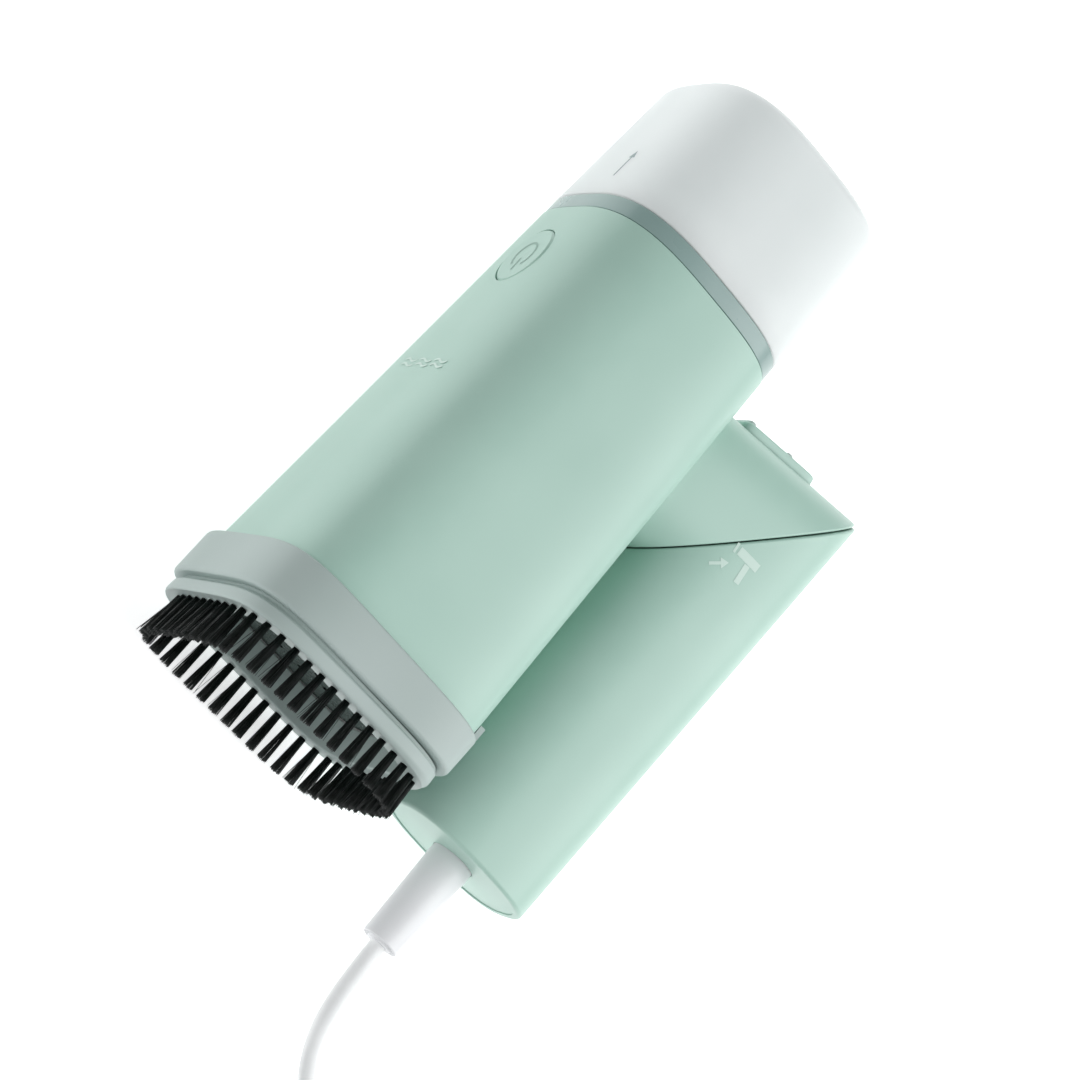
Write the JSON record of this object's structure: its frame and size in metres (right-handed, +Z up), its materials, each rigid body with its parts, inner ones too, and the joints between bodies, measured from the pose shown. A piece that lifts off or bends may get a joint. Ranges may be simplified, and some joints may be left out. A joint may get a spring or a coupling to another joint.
{
  "type": "garment steamer",
  "caption": "Folding handheld garment steamer lying on its side: rounded-square body, clip-on bristle brush, pull-off water tank, pivoting handle and mains cord.",
  "frame": {"origin": "centre of the steamer's footprint, on the surface that it lies on (the cord left out)", "axes": "+X from the brush to the water tank along the body, +Y from the folded handle to the power button, +Z up"},
  "size_m": [0.3302, 0.1631, 0.0698],
  "materials": {
    "mint_shell": "satin moulded mint plastic",
    "grey_trim": "satin pale grey plastic",
    "button_grey": "satin grey-green plastic",
    "gloss_band": "glossy grey-green plastic",
    "frosted_tank": "frosted translucent plastic",
    "white_plastic": "plain white moulding",
    "bristle": "black nylon bristle",
    "steam_metal": "dark coated metal",
    "cast_metal": "as cast",
    "steel": "bright",
    "copper": "enamelled copper winding",
    "black_plastic": "satin",
    "board_green": "solder mask",
    "silicone": "matte silicone",
    "cord_white": "soft white cord sheath",
    "white_boot": "satin white moulding",
    "tie_black": "matte",
    "plated_pin": "nickel plated"
  },
  "bodies": {
    "main": {"body_shell": "mint_shell", "head_frame": "white_plastic", "steam_plate": "steam_metal", "plate_gasket": "silicone", "boiler_block": "cast_metal", "boiler_screws": "steel", "heating_element": "steel", "thermostat": "steel", "thermal_fuse": "steel", "heat_shield": "steel", "pump_body": "white_plastic", "pump_winding": "copper", "pump_mount_front": "silicone", "pump_mount_rear": "silicone", "outlet_hose": "silicone", "inlet_hose": "silicone", "control_board": "board_green", "button_switch": "black_plastic", "rear_bulkhead": "white_plastic", "tank_socket": "white_plastic", "socket_seal": "silicone", "trim_band": "gloss_band", "neck_shell": "mint_shell", "steam_switch": "black_plastic", "pivot_hub": "black_plastic", "retaining_ring": "steel"},
    "handle": {"handle_shell": "mint_shell", "handle_end_cap": "mint_shell", "cord_clamp": "black_plastic", "clamp_bar": "black_plastic", "inner_lead": "cord_white", "cord_boot": "white_boot", "pivot_washer": "steel", "cord_tube": "cord_white", "cord_coil": "cord_white", "coil_tie": "tie_black", "cord_tail": "cord_white", "plug_nose": "white_boot", "plug_body": "white_boot", "plug_pins": "plated_pin"},
    "power_button": {"power_button": "mint_shell"},
    "steam_button": {"steam_button": "button_grey"},
    "tank": {"tank_shell": "frosted_tank", "tank_base": "white_plastic", "tank_gasket": "silicone", "filler_stopper": "white_plastic", "tank_valve": "white_plastic", "valve_spring": "steel"},
    "brush": {"brush_collar": "grey_trim", "brush_base": "grey_trim", "brush_tufts": "bristle"},
    "release_tab": {"release_tab": "grey_trim"}
  },
  "joints": [
    {"name": "handle_fold", "type": "hinge", "parent": "main", "child": "handle", "pos_m": [0.0327, -0.0367, 0.0349], "axis": [0.6528, 0.7576, 0], "range_deg": [0, 180]},
    {"name": "power_button_press", "type": "slide", "parent": "main", "child": "power_button", "axis": [0, -1, 0], "range_m": [0, 0.0006], "stiffness_N_per_m": 2000, "springref_m": -0.0005},
    {"name": "steam_button_press", "type": "slide", "parent": "main", "child": "steam_button", "axis": [-0.989, -0.1478, 0], "range_m": [0, 0.0012], "stiffness_N_per_m": 1500, "springref_m": -0.0005},
    {"name": "tank_pull", "type": "slide", "parent": "main", "child": "tank", "axis": [1, 0, 0], "range_m": [0, 0.05]},
    {"name": "brush_pull", "type": "slide", "parent": "main", "child": "brush", "axis": [-1, 0, 0], "range_m": [0, 0.03]},
    {"name": "release_tab_slide", "type": "slide", "parent": "main", "child": "release_tab", "axis": [1, 0, 0], "range_m": [0, 0.002]}
  ]
}
